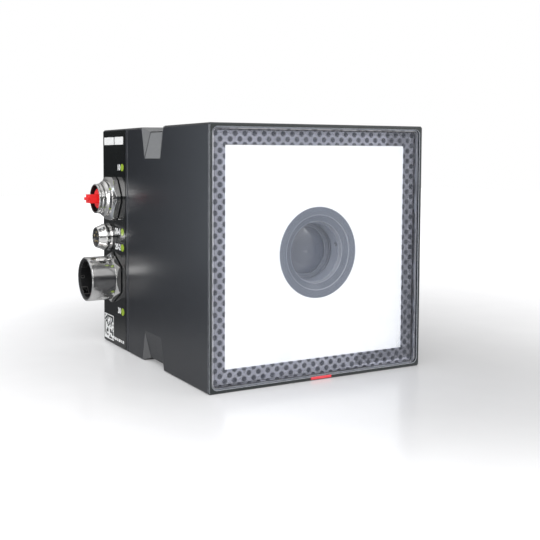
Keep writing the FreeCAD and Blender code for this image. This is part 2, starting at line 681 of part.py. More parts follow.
def make_board_standoffs():
    front = MAIN_BOARD_DEPTH + BOARD_T
    places = four_corners(STANDOFF_X, STANDOFF_Z)
    return Part.makeCompound([hexagon_y(STANDOFF_AF, front, BACK_INSIDE, x, z) for x, z in places])


def make_board_screws():
    front = MAIN_BOARD_DEPTH
    places = four_corners(STANDOFF_X, STANDOFF_Z)
    return Part.makeCompound([hex_head_screw(x, z, front + BOARD_T, front, -1) for x, z in places])


def make_processor_chip():
    front = MAIN_BOARD_DEPTH + BOARD_T
    return slab(CHIP_SIZE, CHIP_SIZE, front, front + CHIP_T)


def make_heat_spreader():
    front = MAIN_BOARD_DEPTH + BOARD_T + CHIP_T
    return slab(SPREADER_SIZE, SPREADER_SIZE, front, BACK_INSIDE)


# ---- left side ----
def make_side_film():
    film = film_outline(-EDGE_GAP, -FILM_RECESS, FILM_T - FILM_RECESS)
    holes = [(UPPER_SEAL_R, SOCKET_DEPTH, UPPER_Z), (SMALL_FLANGE_R, SMALL_DEPTH, SMALL_Z)]
    holes.append((LOWER_SEAL_R, SOCKET_DEPTH, LOWER_Z))
    for radius, depth, z in holes:
        film = film.cut(rod_x(radius + EDGE_GAP, -1, 1, depth, z))
    for z in LIGHT_HEIGHTS:
        film = film.cut(rod_x(LIGHT_R + FIT, -1, 1, LIGHT_DEPTH, z))
    return film


def make_status_lights():
    pipes = []
    for z in LIGHT_HEIGHTS:
        pipes.append(rod_x(LIGHT_R, LIGHT_STAND - LIGHT_LEN, LIGHT_STAND, LIGHT_DEPTH, z))
    return Part.makeCompound(pipes)


def seat_ring(outer, inner, depth, z):
    """Flat seal under a socket."""
    ring = rod_x(outer, -FILM_RECESS, SEAT_T, depth, z)
    return ring.cut(rod_x(inner + FIT, -1, 1, depth, z))


def inner_nut(across_flats, tail_r, depth, z):
    """Lock nut on a socket's tail inside the wall."""
    nut = hexagon_x(across_flats, -WALL - NUT_T, -WALL, depth, z, 30)
    return nut.cut(rod_x(tail_r + FIT, -WALL - NUT_T - 1, 1, depth, z))


def contact_rods(count, radius, pcd, s0, s1, depth, z, turn=0.0):
    """Round contacts of a socket as separate bars."""
    rods = []
    for across, up in ring_points(count, pcd, turn):
        rods.append(rod_x(radius, s0, s1, depth + across, z + up))
    return rods


def make_upper_socket_shell():
    hexagon = hexagon_x(UPPER_AF, SEAT_T, 3.6, SOCKET_DEPTH, UPPER_Z, 0)
    turned = [(0, SEAT_T), (UPPER_TURNED_R, SEAT_T), (UPPER_TURNED_R, 2.7), (8.6, 3.6), (0, 3.6)]
    hexagon = hexagon.common(turned_x(turned, SOCKET_DEPTH, UPPER_Z))
    bore = UPPER_BORE_R
    profile = [(bore, -TAIL_LEN), (UPPER_TAIL_R, -TAIL_LEN), (UPPER_TAIL_R, 3.0), (8.15, 3.0)]
    profile += [(8.15, 5.0), (7.4, 5.9), (6.9, 5.9), (6.9, 7.2), (6.5, 7.6), (6.5, 8.1)]
    profile += [(UPPER_RIM_R, 8.3), (UPPER_RIM_R, UPPER_STAND - 0.3), (UPPER_RIM_R - 0.3, UPPER_STAND)]
    profile += [(UPPER_MOUTH_R + 0.2, UPPER_STAND), (UPPER_MOUTH_R, UPPER_STAND - 0.3)]
    profile += [(UPPER_MOUTH_R, UPPER_MOUTH_BACK), (bore, UPPER_MOUTH_BACK)]
    shell = fuse([hexagon, turned_x(profile, SOCKET_DEPTH, UPPER_Z)])
    return shell.cut(rod_x(bore, -TAIL_LEN - 1, UPPER_MOUTH_BACK + 1, SOCKET_DEPTH, UPPER_Z))


def make_upper_socket_insert():
    return rod_x(UPPER_BORE_R - FIT, 1 - TAIL_LEN, UPPER_INSERT_FACE, SOCKET_DEPTH, UPPER_Z)


def make_upper_socket_contacts():
    return Part.makeCompound(contact_rods(UPPER_PINS, UPPER_PIN_R, UPPER_PIN_PCD, -TAIL_LEN - 2,
                                          1 - TAIL_LEN, SOCKET_DEPTH, UPPER_Z, 45))


def make_upper_socket_seal():
    return seat_ring(UPPER_SEAL_R, UPPER_TAIL_R, SOCKET_DEPTH, UPPER_Z)


def make_upper_socket_nut():
    return inner_nut(UPPER_NUT_AF, UPPER_TAIL_R, SOCKET_DEPTH, UPPER_Z)


def make_lower_socket_shell():
    corner = LOWER_AF / math.sqrt(3)
    hexagon = hexagon_x(LOWER_AF, SEAT_T, 2.7, SOCKET_DEPTH, LOWER_Z, 30)
    turned = [(0, SEAT_T), (corner + 1, SEAT_T), (corner + 1, 0.9), (corner, 1.2)]
    turned += [(LOWER_BARREL_R, 2.7), (0, 2.7)]
    hexagon = hexagon.common(turned_x(turned, SOCKET_DEPTH, LOWER_Z))
    inner = LOWER_TAIL_R - 1.4
    rim = LOWER_STAND
    profile = [(inner, -TAIL_LEN), (LOWER_TAIL_R, -TAIL_LEN), (LOWER_TAIL_R, 1.0), (LOWER_BARREL_R, 1.0)]
    profile += [(LOWER_BARREL_R, rim - 0.4), (LOWER_BARREL_R - 0.4, rim), (LOWER_BORE_R + LOWER_LEAD, rim)]
    profile += [(LOWER_BORE_R, rim - 0.8), (LOWER_BORE_R, LOWER_BORE_START)]
    profile += [(LOWER_POCKET_R, LOWER_BORE_START), (LOWER_POCKET_R, LOWER_SEAT), (inner, LOWER_SEAT)]
    shell = fuse([hexagon, turned_x(profile, SOCKET_DEPTH, LOWER_Z)])
    shell = shell.cut(rod_x(inner, -TAIL_LEN - 1, LOWER_SEAT + 1, SOCKET_DEPTH, LOWER_Z))
    return shell.cut(rod_x(LOWER_POCKET_R, LOWER_SEAT, LOWER_SEAT + 1, SOCKET_DEPTH, LOWER_Z))


def make_lower_socket_insert():
    tail = LOWER_TAIL_R - 1.4 - FIT
    head = LOWER_POCKET_R - FIT
    profile = [(0, 1 - TAIL_LEN), (tail, 1 - TAIL_LEN), (tail, LOWER_SEAT), (head, LOWER_SEAT)]
    profile += [(head, LOWER_FACE), (0, LOWER_FACE)]
    body = turned_x(profile, SOCKET_DEPTH, LOWER_Z)
    ribs = []
    for k in range(2):
        y_half, z_half = (head - 0.3, 0.7) if k else (0.7, head - 0.3)
        ribs.append(box(SIDE_X - LOWER_FACE - LOWER_RIB, SIDE_X - LOWER_FACE + 0.5,
                        SOCKET_DEPTH - y_half, SOCKET_DEPTH + y_half, LOWER_Z - z_half, LOWER_Z + z_half))
    body = fuse([body] + ribs)
    for rod in contact_rods(LOWER_PINS, LOWER_PIN_R + FIT, LOWER_PIN_PCD, -TAIL_LEN, LOWER_FACE + 2,
                            SOCKET_DEPTH, LOWER_Z, 45):
        body = body.cut(rod)
    return body


def make_lower_socket_contacts():
    return Part.makeCompound(contact_rods(LOWER_PINS, LOWER_PIN_R, LOWER_PIN_PCD, -TAIL_LEN - 2,
                                          LOWER_FACE - 0.4, SOCKET_DEPTH, LOWER_Z, 45))


def make_lower_socket_seal():
    return seat_ring(LOWER_SEAL_R, LOWER_TAIL_R, SOCKET_DEPTH, LOWER_Z)


def make_lower_socket_nut():
    return inner_nut(LOWER_NUT_AF, LOWER_TAIL_R, SOCKET_DEPTH, LOWER_Z)


def make_small_socket_shell():
    bore = SMALL_BORE_R - 0.9
    profile = [(bore, -TAIL_LEN), (SMALL_TAIL_R, -TAIL_LEN), (SMALL_TAIL_R, -FILM_RECESS)]
    profile += [(SMALL_FLANGE_R, -FILM_RECESS), (SMALL_FLANGE_R, 0.8), (5.4, 0.8), (5.4, 2.0)]
    profile += [(SMALL_BODY_R, 2.0), (SMALL_BODY_R, 3.2), (5.8, 3.5), (4.7, 6.6), (4.5, SMALL_STAND)]
    profile += [(SMALL_BORE_R, SMALL_STAND), (SMALL_BORE_R, 4.5), (bore, 4.5)]
    return turned_x(profile, SMALL_DEPTH, SMALL_Z)


def make_small_socket_insert():
    tail = SMALL_BORE_R - 0.9 - FIT
    head = SMALL_BORE_R - FIT
    face = SMALL_STAND - SMALL_FACE_SINK
    profile = [(0, 1 - TAIL_LEN), (tail, 1 - TAIL_LEN), (tail, 4.5), (head, 4.5), (head, face), (0, face)]
    body = turned_x(profile, SMALL_DEPTH, SMALL_Z)
    for rod in contact_rods(SMALL_PINS, SMALL_PIN_R + FIT, SMALL_PIN_PCD, -TAIL_LEN, SMALL_STAND,
                            SMALL_DEPTH, SMALL_Z, 90):
        body = body.cut(rod)
    return body


def make_small_socket_contacts():
    return Part.makeCompound(contact_rods(SMALL_PINS, SMALL_PIN_R, SMALL_PIN_PCD, -TAIL_LEN - 1,
                                          SMALL_STAND - 0.1, SMALL_DEPTH, SMALL_Z, 90))


def make_dust_plug():
    head = PLUG_HEAD_FACE
    profile = [(0, PLUG_INNER), (PLUG_R - 0.4, PLUG_INNER), (PLUG_R, PLUG_INNER + 0.6), (PLUG_R, UPPER_MOUTH_BACK - 0.6)]
    profile += [(PLUG_HEAD_R, UPPER_MOUTH_BACK), (PLUG_HEAD_R, head - 0.3), (PLUG_HEAD_R - 0.3, head), (0, head)]
    plug = turned_x(profile, SOCKET_DEPTH, UPPER_Z)
    tab = box(SIDE_X - PLUG_STAND, SIDE_X - head + 0.5,
              SOCKET_DEPTH - PLUG_TAB_WIDTH / 2, SOCKET_DEPTH + PLUG_TAB_WIDTH / 2,
              UPPER_Z - PLUG_TAB / 2, UPPER_Z + PLUG_TAB / 2)
    ridge = box(SIDE_X - PLUG_STAND - PLUG_RIDGE_STAND, SIDE_X - PLUG_STAND + 0.5,
                SOCKET_DEPTH - PLUG_TAB_WIDTH / 2, SOCKET_DEPTH + PLUG_TAB_WIDTH / 2,
                UPPER_Z - PLUG_RIDGE / 2, UPPER_Z + PLUG_RIDGE / 2)
    return fuse([plug, tab, ridge])


NODES = {
    "front_housing": make_front_housing,
    "rear_housing": make_rear_housing,
    "housing_seal": make_housing_seal,
    "housing_screws": make_housing_screws,
    "window": make_window,
    "window_bead": make_window_bead,
    "border_mask": make_border_mask,
    "diffuser": make_diffuser,
    "light_tray": make_light_tray,
    "led_board": make_led_board,
    "light_emitters": make_light_emitters,
    "lens_hood": make_lens_hood,
    "focus_ring": make_focus_ring,
    "hood_lock_screw": make_hood_lock_screw,
    "lens_barrel": make_lens_barrel,
    "lens_cell": make_lens_cell,
    "front_lens": make_front_lens,
    "lens_retainer": make_lens_retainer,
    "rear_lens": make_rear_lens,
    "chassis_screws": make_chassis_screws,
    "camera_block": make_camera_block,
    "image_sensor": make_image_sensor,
    "sensor_board": make_sensor_board,
    "sensor_flex": make_sensor_flex,
    "light_flex": make_light_flex,
    "main_board": make_main_board,
    "board_standoffs": make_board_standoffs,
    "board_screws": make_board_screws,
    "processor_chip": make_processor_chip,
    "heat_spreader": make_heat_spreader,
    "side_film": make_side_film,
    "status_lights": make_status_lights,
    "upper_socket_shell": make_upper_socket_shell,
    "upper_socket_insert": make_upper_socket_insert,
    "upper_socket_contacts": make_upper_socket_contacts,
    "upper_socket_seal": make_upper_socket_seal,
    "upper_socket_nut": make_upper_socket_nut,
    "lower_socket_shell": make_lower_socket_shell,
    "lower_socket_insert": make_lower_socket_insert,
    "lower_socket_contacts": make_lower_socket_contacts,
    "lower_socket_seal": make_lower_socket_seal,
    "lower_socket_nut": make_lower_socket_nut,
    "small_socket_shell": make_small_socket_shell,
    "small_socket_insert": make_small_socket_insert,
    "small_socket_contacts": make_small_socket_contacts,
    "dust_plug": make_dust_plug,
}

os.makedirs("parts", exist_ok=True)
for name, make in NODES.items():
    shape = make()
    for solid in shape.Solids:
        if not solid.isValid():
            print("invalid solid in", name)
    print(name, len(shape.Solids), round(shape.Volume, 1))
    shape.exportStep("parts/" + name + ".step")
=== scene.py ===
"""Finishes, prints, lights and view of a machine vision camera with a built-in square flash light."""

import json
import math

import bmesh
import bpy
from mathutils import Matrix, Vector


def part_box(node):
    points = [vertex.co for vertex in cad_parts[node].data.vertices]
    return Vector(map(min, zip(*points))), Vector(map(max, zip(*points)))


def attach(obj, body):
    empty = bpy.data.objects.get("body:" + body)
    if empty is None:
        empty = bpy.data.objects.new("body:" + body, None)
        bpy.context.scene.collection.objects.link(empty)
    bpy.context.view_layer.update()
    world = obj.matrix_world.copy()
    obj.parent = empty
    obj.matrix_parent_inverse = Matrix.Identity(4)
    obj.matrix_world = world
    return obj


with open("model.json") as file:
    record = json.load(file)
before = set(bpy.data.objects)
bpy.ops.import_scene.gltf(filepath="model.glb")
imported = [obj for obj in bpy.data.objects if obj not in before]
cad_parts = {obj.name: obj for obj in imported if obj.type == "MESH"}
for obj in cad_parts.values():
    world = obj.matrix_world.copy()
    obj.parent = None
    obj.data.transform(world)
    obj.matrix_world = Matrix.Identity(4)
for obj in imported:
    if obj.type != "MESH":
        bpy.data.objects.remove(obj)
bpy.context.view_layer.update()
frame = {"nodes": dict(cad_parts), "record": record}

MM = 0.001
nodes = frame["nodes"]

# ---- places, read from the frame ----
body_low, body_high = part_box("front_housing")
film_low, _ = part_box("side_film")
_, window_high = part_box("window")
FRONT = body_low.y
MID_Z = (body_low.z + body_high.z) / 2
HALF = (body_high.x - body_low.x) / 2
FILM_FACE = film_low.x
WINDOW_EDGE = window_high.x

# ---- sizes of patterns and prints, in metres ----
PANE_CORNER = 1.9 * MM
NOTCH_HALF_LENGTH = 11.5 * MM
NOTCH_DROP = 13.65 * MM
NOTCH_FLOOR_HALF = 5.65 * MM
DOT_PITCH = 4.2 * MM
DOT_RADIUS = 1.05 * MM
PRINT_HALF = 0.02 * MM
STROKE_SPREAD = 0.16 * MM

# ---- places and sizes in millimetres; depths count from the front, heights from the base ----
NOTCH_DEPTH = 50.0
CODE_DEPTH = 100.0
CODE_Z = 7.65
CODE_CELL = 0.9
NUMBER_END = 85.1
NUMBER_HEIGHT = 2.6

# ---- ratios and counts ----
NOTCH_FLOOR_SPREAD = 0.1755
CODE_CELLS_EACH_WAY = 6
FONT_SIZE_PER_HEIGHT = 1.38


def at_depth(depth):
    """Y of a depth behind the front face, in millimetres."""
    return FRONT + depth * MM


# ---- node helpers ----
def put(tree, kind, inputs=None, **settings):
    """Adds a node; an input takes a plain value or another node's output."""
    made = tree.nodes.new(kind)
    for key, value in settings.items():
        setattr(made, key, value)
    for key, value in (inputs or {}).items():
        socket = made.inputs[key]
        if isinstance(value, bpy.types.NodeSocket):
            tree.links.new(value, socket)
        else:
            socket.default_value = value
    return made


def maths(tree, operation, *values):
    """One step of arithmetic on values or outputs."""
    return put(tree, "ShaderNodeMath", dict(enumerate(values)), operation=operation).outputs[0]


def times(tree, first, second):
    """Product of two values."""
    return maths(tree, "MULTIPLY", first, second)


def minus(tree, first, second):
    """First value less the second."""
    return maths(tree, "SUBTRACT", first, second)


def off_from(tree, value, centre):
    """How far a value lies from a centre, either way."""
    return maths(tree, "ABSOLUTE", minus(tree, value, centre))


def ramp(tree, value, low, high, start=0.0, end=1.0):
    """Smooth change from start to end while value runs from low to high."""
    inputs = {"Value": value, "From Min": low, "From Max": high, "To Min": start, "To Max": end}
    return put(tree, "ShaderNodeMapRange", inputs, interpolation_type="SMOOTHSTEP").outputs[0]


def below(tree, value, limit, soft):
    """1 where value lies below the limit, with a soft end."""
    return ramp(tree, value, limit - soft, limit + soft, 1.0, 0.0)


def between(tree, value, low, high, soft):
    """1 where value lies between low and high, with soft ends."""
    rise = ramp(tree, value, low - soft, low + soft)
    return times(tree, rise, below(tree, value, high, soft))


def tint(tree, share, first, second):
    """Colour between two colours."""
    made = put(tree, "ShaderNodeMix", {"Factor": share}, data_type="RGBA")
    for socket, colour in ((made.inputs[6], first), (made.inputs[7], second)):
        if isinstance(colour, bpy.types.NodeSocket):
            tree.links.new(colour, socket)
        else:
            socket.default_value = (*colour, 1)
    return made.outputs[2]


def own_vector(tree):
    """Object coordinates."""
    return put(tree, "ShaderNodeTexCoord").outputs["Object"]


def own_place(tree):
    """Object coordinates as separate x, y and z."""
    return put(tree, "ShaderNodeSeparateXYZ", {0: own_vector(tree)}).outputs


def clouds(tree, vector, **inputs):
    """Noise over a vector."""
    return put(tree, "ShaderNodeTexNoise", {"Vector": vector, **inputs}).outputs["Fac"]


def vector_maths(tree, operation, *vectors):
    """Value of a vector operation: a length, a distance or a dot product."""
    made = put(tree, "ShaderNodeVectorMath", dict(enumerate(vectors)), operation=operation)
    return made.outputs["Value"]


def radius_of(tree, across, up):
    """Distance from the point where across and up are both 0."""
    pair = put(tree, "ShaderNodeCombineXYZ", {0: across, 1: up}).outputs[0]
    return vector_maths(tree, "LENGTH", pair)


def lens_radius(tree, x, z):
    """Distance from the lens axis."""
    return radius_of(tree, x, minus(tree, z, MID_Z))


# ---- effects that several finishes share ----
def new_effect(name, inputs, outputs):
    """Empty node group with named sockets; inputs are (name, default)."""
    group = bpy.data.node_groups.new(name, "ShaderNodeTree")
    for label, value in inputs:
        socket = group.interface.new_socket(label, in_out="INPUT", socket_type="NodeSocketFloat")
        socket.default_value = value
    for label, kind in outputs:
        group.interface.new_socket(label, in_out="OUTPUT", socket_type=kind)
    return group, group.nodes.new("NodeGroupInput").outputs, group.nodes.new("NodeGroupOutput").inputs


def make_surface_grain():
    """Fine grain height, broad tone drift and smudges of paint and plastic."""
    group, given, result = new_effect(
        "surface_grain", [("Grain per metre", 4000.0), ("Drift per metre", 40.0)],
        [("Height", "NodeSocketFloat"), ("Tone", "NodeSocketFloat"), ("Smudge", "NodeSocketFloat")])
    vector = own_vector(group)
    height = clouds(group, vector, Scale=given[0], Detail=3.0, Roughness=0.6)
    drift = clouds(group, vector, Scale=given[1], Detail=5.0, Roughness=0.65)
    smudge = clouds(group, vector, Scale=given[1], Detail=2.0, Distortion=2.5)
    group.links.new(height, result["Height"])
    group.links.new(ramp(group, drift, 0.3, 0.7), result["Tone"])
    group.links.new(ramp(group, smudge, 0.45, 0.7), result["Smudge"])
    return group


def make_edge_rub_and_highlight():
    """Masks of the edges, broken into patches and whole, and the rounded normal; the masks serve rubbed
    edges and painted edge highlights.
    """
    group, given, result = new_effect(
        "edge_rub_and_highlight", [("Radius", 0.0004), ("Breaks per metre", 900.0)],
        [("Mask", "NodeSocketFloat"), ("Edge", "NodeSocketFloat"), ("Normal", "NodeSocketVector")])
    rounded = put(group, "ShaderNodeBevel", {"Radius": given[0]}, samples=6).outputs[0]
    normal = put(group, "ShaderNodeNewGeometry").outputs["Normal"]
    same = vector_maths(group, "DOT_PRODUCT", rounded, normal)
    edge = ramp(group, same, 0.86, 0.99, 1.0, 0.0)
    breaks = clouds(group, own_vector(group), Scale=given[1], Detail=3.0)
    group.links.new(times(group, edge, ramp(group, breaks, 0.35, 0.65)), result["Mask"])
    group.links.new(edge, result["Edge"])
    group.links.new(rounded, result["Normal"])
    return group


def make_tool_marks():
    """Fine lines left by turning or milling, drawn out along one direction."""
    group, given, result = new_effect(
        "tool_marks", [("Along x", 1.0), ("Along y", 1.0), ("Along z", 1.0), ("Lines per metre", 6000.0)],
        [("Height", "NodeSocketFloat"), ("Tone", "NodeSocketFloat")])
    stretch = put(group, "ShaderNodeCombineXYZ", {0: given[0], 1: given[1], 2: given[2]}).outputs[0]
    stretched = {0: own_vector(group), 1: stretch}
    drawn = put(group, "ShaderNodeVectorMath", stretched, operation="MULTIPLY").outputs[0]
    lines = clouds(group, drawn, Scale=given[3], Detail=2.0, Roughness=0.5)
    group.links.new(lines, result["Height"])
    group.links.new(ramp(group, lines, 0.35, 0.65), result["Tone"])
    return group


def make_settled_dust():
    """Thin dust on faces that look upwards, thicker in patches."""
    group, given, result = new_effect("settled_dust", [("Amount", 0.3)], [("Mask", "NodeSocketFloat")])
    normal = put(group, "ShaderNodeNewGeometry").outputs["Normal"]
    up = put(group, "ShaderNodeSeparateXYZ", {0: normal}).outputs[2]
    specks = clouds(group, own_vector(group), Scale=700.0, Detail=6.0, Roughness=0.8)
    lying = times(group, ramp(group, up, 0.5, 1.0), ramp(group, specks, 0.45, 0.75))
    group.links.new(times(group, lying, given[0]), result["Mask"])
    return group


SURFACE_GRAIN = make_surface_grain()
EDGE_RUB_AND_HIGHLIGHT = make_edge_rub_and_highlight()
TOOL_MARKS = make_tool_marks()
SETTLED_DUST = make_settled_dust()


def set_inputs(made, values):
    """Sets plain values on a node; an underscore in a name stands for a space."""
    for key, value in values.items():
        made.inputs[key.replace("_", " ")].default_value = value


def effect(tree, group, **values):
    """Places a shared effect with its own values."""
    made = tree.nodes.new("ShaderNodeGroup")
    made.node_tree = group
    set_inputs(made, values)
    return made.outputs


# ---- finishes ----
def new_finish(name, **sockets):
    """Material with one Principled shader whose plain values are set here."""
    material = bpy.data.materials.new(name)
    material.use_nodes = True
    tree = material.node_tree
    shader = tree.nodes["Principled BSDF"]
    set_inputs(shader, sockets)
    return material, tree, shader


def wire(tree, shader, **sources):
    """Links outputs to the shader's sockets, named in the same way."""
    for key, source in sources.items():
        tree.links.new(source, shader.inputs[key.replace("_", " ")])


def bump(tree, height, distance, strength=1.0, normal=None):
    """Bump of a height over a distance in metres."""
    inputs = {"Height": height, "Distance": distance, "Strength": strength}
    if normal is not None:
        inputs["Normal"] = normal
    return put(tree, "ShaderNodeBump", inputs).outputs[0]


def grained(name, colour, drift=0.12, roughness=0.5, spread=0.08, grain=4000.0, depth=0.004, rub_and_highlight_colour=None,
            **sockets):
    """Paint or plastic with grain, tone drift, smudges and, with an edge colour, pale edges in broken
    patches.
    """
    material, tree, shader = new_finish(name, **sockets)
    marks = effect(tree, SURFACE_GRAIN, Grain_per_metre=grain)
    dark = [c * (1 - drift) for c in colour]
    light = [min(1.0, c * (1 + drift)) for c in colour]
    skin = tint(tree, marks["Tone"], dark, light)
    rough = ramp(tree, marks["Smudge"], 0.0, 1.0, roughness, roughness + spread)
    normal = None
    if rub_and_highlight_colour is not None:
        # Pale edges in broken patches: rubbed on the anodised grey parts, a painted highlight on the hood.
        edge = effect(tree, EDGE_RUB_AND_HIGHLIGHT)
        skin = tint(tree, times(tree, edge["Mask"], 0.6), skin, rub_and_highlight_colour)
        normal = edge["Normal"]
    wire(tree, shader, Base_Color=skin, Roughness=rough,
         Normal=bump(tree, marks["Height"], depth * MM, 1.0, normal))
    return material


def notch_masks(tree, x, y, z):
    """Masks that end just outside the clamp notches: their faces, the crease lines and inner ends that carry
    painted shade, and the end walls.
    """
    side = minus(tree, HALF, maths(tree, "ABSOLUTE", x))
    upright = minus(tree, HALF, off_from(tree, z, MID_Z))
    sunk = maths(tree, "MINIMUM", side, upright)
    reach = maths(tree, "MAXIMUM", side, upright)
    along = off_from(tree, y, at_depth(NOTCH_DEPTH))
    in_length = below(tree, along, NOTCH_HALF_LENGTH, 0.1 * MM)
    in_drop = below(tree, reach, NOTCH_DROP, 0.15 * MM)
    open_part = times(tree, ramp(tree, sunk, 0.02 * MM, 0.06 * MM), in_length)
    faces = times(tree, open_part, in_drop)
    floor_half = maths(tree, "ADD", NOTCH_FLOOR_HALF, times(tree, reach, NOTCH_FLOOR_SPREAD))
    past = minus(tree, along, floor_half)
    walls = ramp(tree, past, 0.02 * MM, 0.10 * MM)
    # Painted shade: masks for dark lines along each crease and at the inner end.
    crease_shade = between(tree, past, -0.30 * MM, 0.16 * MM, 0.08 * MM)
    inner_end = below(tree, reach, 2.4 * MM, 0.2 * MM)
    ridge_shade = times(tree, inner_end, below(tree, past, 0.0, 0.1 * MM))
    return faces, maths(tree, "MAXIMUM", crease_shade, ridge_shade), walls


def housing_paint():
    """Satin anthracite paint with a painted highlight on the front edges, bare notches with painted shade
    that is darker in the lower notches, and a red bar.
    """
    material, tree, shader = new_finish("housing_paint", Specular_IOR_Level=0.45)
    marks = effect(tree, SURFACE_GRAIN, Grain_per_metre=5200.0, Drift_per_metre=30.0)
    edge = effect(tree, EDGE_RUB_AND_HIGHLIGHT, Radius=0.0005)
    dust = effect(tree, SETTLED_DUST, Amount=0.12)
    milled = effect(tree, TOOL_MARKS, Along_x=1.0, Along_y=0.05, Along_z=1.0, Lines_per_metre=6000.0)
    x, y, z = own_place(tree)
    notch, crease_shade, walls = notch_masks(tree, x, y, z)
    paint = tint(tree, marks["Tone"], (0.0095, 0.0110, 0.0150), (0.0120, 0.0138, 0.0186))
    rim = ramp(tree, y, at_depth(0.12), at_depth(0.30), 1.0, 0.0)
    paint = tint(tree, rim, paint, (0.022, 0.027, 0.027))
    # Painted highlight: a pale line along the front edges, strongest near the front face and at mid height.
    near_front = ramp(tree, y, at_depth(0.5), at_depth(0.9), 0.9, 0.22)
    front_edge_highlight = times(tree, ramp(tree, edge["Edge"], 0.0, 0.55), near_front)
    upright = ramp(tree, off_from(tree, z, MID_Z), HALF - 1.2 * MM, HALF - 0.6 * MM, 1.0, 0.15)
    front_edge_highlight = times(tree, front_edge_highlight, upright)
    paint = tint(tree, front_edge_highlight, paint, (0.62, 0.65, 0.72))
    # Painted shade: the notch floors and end walls get different greys by how light falls on them, and the
    # lower notches, which face down, are darker.
    upper = ramp(tree, z, MID_Z - 5 * MM, MID_Z + 5 * MM)
    floor_tone = tint(tree, upper, (0.030, 0.032, 0.036), (0.235, 0.240, 0.246))
    wall_tone = tint(tree, upper, (0.115, 0.117, 0.121), (0.185, 0.189, 0.194))
    metal = tint(tree, walls, floor_tone, wall_tone)
    metal = tint(tree, times(tree, milled["Tone"], 0.15), metal, (0.12, 0.12, 0.125))
    # Painted shade: dark lines along each crease and at the inner end of each notch.
    metal = tint(tree, crease_shade, metal, (0.018, 0.019, 0.021))
    skin = tint(tree, notch, paint, metal)
    bar_length = between(tree, x, -4.7 * MM, 5.0 * MM, 0.03 * MM)
    bar_height = between(tree, z, 0.35 * MM, 1.45 * MM, 0.03 * MM)
    bar_face = ramp(tree, y, at_depth(0.25), at_depth(0.35), 1.0, 0.0)
    bar = times(tree, times(tree, bar_length, bar_height), bar_face)
    skin = tint(tree, bar, skin, (0.90, 0.07, 0.09))
    skin = tint(tree, dust["Mask"], skin, (0.30, 0.30, 0.29))
    satin = ramp(tree, marks["Smudge"], 0.0, 1.0, 0.29, 0.305)
    rough = maths(tree, "ADD", satin, times(tree, notch, 0.15))
    normal = bump(tree, marks["Height"], 0.0015 * MM, 0.5, edge["Normal"])
    wire(tree, shader, Base_Color=skin, Roughness=rough, Normal=normal)
    return material


def clear_pane():
    """Clear acrylic with faint haze; painted reflection makes it paler edge-on, a painted highlight lies on
    the polished bevel and along the right edge, and painted shade makes a dark line just inside the bevel.
    """
    material, tree, shader = new_finish("clear_pane", Roughness=0.05, IOR=1.49)
    marks = effect(tree, SURFACE_GRAIN, Grain_per_metre=300.0, Drift_per_metre=25.0)
    x, _, z = own_place(tree)
    straight = WINDOW_EDGE - PANE_CORNER
    past_straight = []
    for off in (maths(tree, "ABSOLUTE", x), off_from(tree, z, MID_Z)):
        past_straight.append(maths(tree, "MAXIMUM", minus(tree, off, straight), 0.0))
    reach = radius_of(tree, *past_straight)
    # Painted highlight on the polished bevel, broken into patches, and along the right edge.
    pane_highlight = between(tree, reach, PANE_CORNER - 0.36 * MM, PANE_CORNER + 0.2 * MM, 0.05 * MM)
    right_highlight = ramp(tree, x, WINDOW_EDGE - 1.15 * MM, WINDOW_EDGE - 1.0 * MM)
    pane_highlight = maths(tree, "MAXIMUM", pane_highlight, times(tree, right_highlight, 0.6))
    # Painted shade: a dark line just inside the bevel.
    shade = between(tree, reach, PANE_CORNER - 0.85 * MM, PANE_CORNER - 0.45 * MM, 0.08 * MM)
    patches = clouds(tree, own_vector(tree), Scale=260.0, Detail=1.0)
    broken = ramp(tree, patches, 0.40, 0.56, 0.35, 1.0)
    skin = tint(tree, pane_highlight, (0.62, 0.66, 0.74), (0.80, 0.80, 0.83))
    skin = tint(tree, shade, skin, (0.06, 0.06, 0.07))
    # Alpha: faint haze everywhere, and more of the pale colour edge-on as painted reflection.
    edge_on = put(tree, "ShaderNodeFresnel", {"IOR": 1.49}).outputs[0]
    haze = ramp(tree, marks["Smudge"], 0.0, 1.0, 0.045, 0.06)
    seen = maths(tree, "ADD", haze, times(tree, edge_on, 0.4))
    seen = maths(tree, "ADD", seen, times(tree, times(tree, pane_highlight, broken), 0.75))
    seen = maths(tree, "ADD", seen, times(tree, shade, 0.55))
    seen = maths(tree, "MINIMUM", seen, 1.0)
    wire(tree, shader, Base_Color=skin, Alpha=seen, Normal=bump(tree, marks["Height"], 0.001 * MM, 0.2))
    return material


def dotted_print():
    """Lilac grey border with staggered dark dots."""
    material, tree, shader = new_finish("dotted_print", Specular_IOR_Level=0.3)
    marks = effect(tree, SURFACE_GRAIN, Grain_per_metre=6000.0, Drift_per_metre=60.0)
    x, _, z = own_place(tree)
    rise = minus(tree, z, MID_Z)
    away = []
    for shift in (0.0, DOT_PITCH / 2):
        across, up = (maths(tree, "PINGPONG", maths(tree, "ADD", way, shift), DOT_PITCH / 2)
                      for way in (x, rise))
        away.append(radius_of(tree, across, up))
    dot = below(tree, maths(tree, "MINIMUM", *away), DOT_RADIUS, 0.13 * MM)
    ground = tint(tree, marks["Tone"], (0.66, 0.67, 0.78), (0.74, 0.75, 0.86))
    spot = tint(tree, marks["Smudge"], (0.130, 0.138, 0.175), (0.165, 0.175, 0.215))
    wire(tree, shader, Base_Color=tint(tree, dot, ground, spot),
         Roughness=ramp(tree, dot, 0, 1, 0.55, 0.45),
         Normal=bump(tree, marks["Height"], 0.002 * MM, 0.5))
    return material


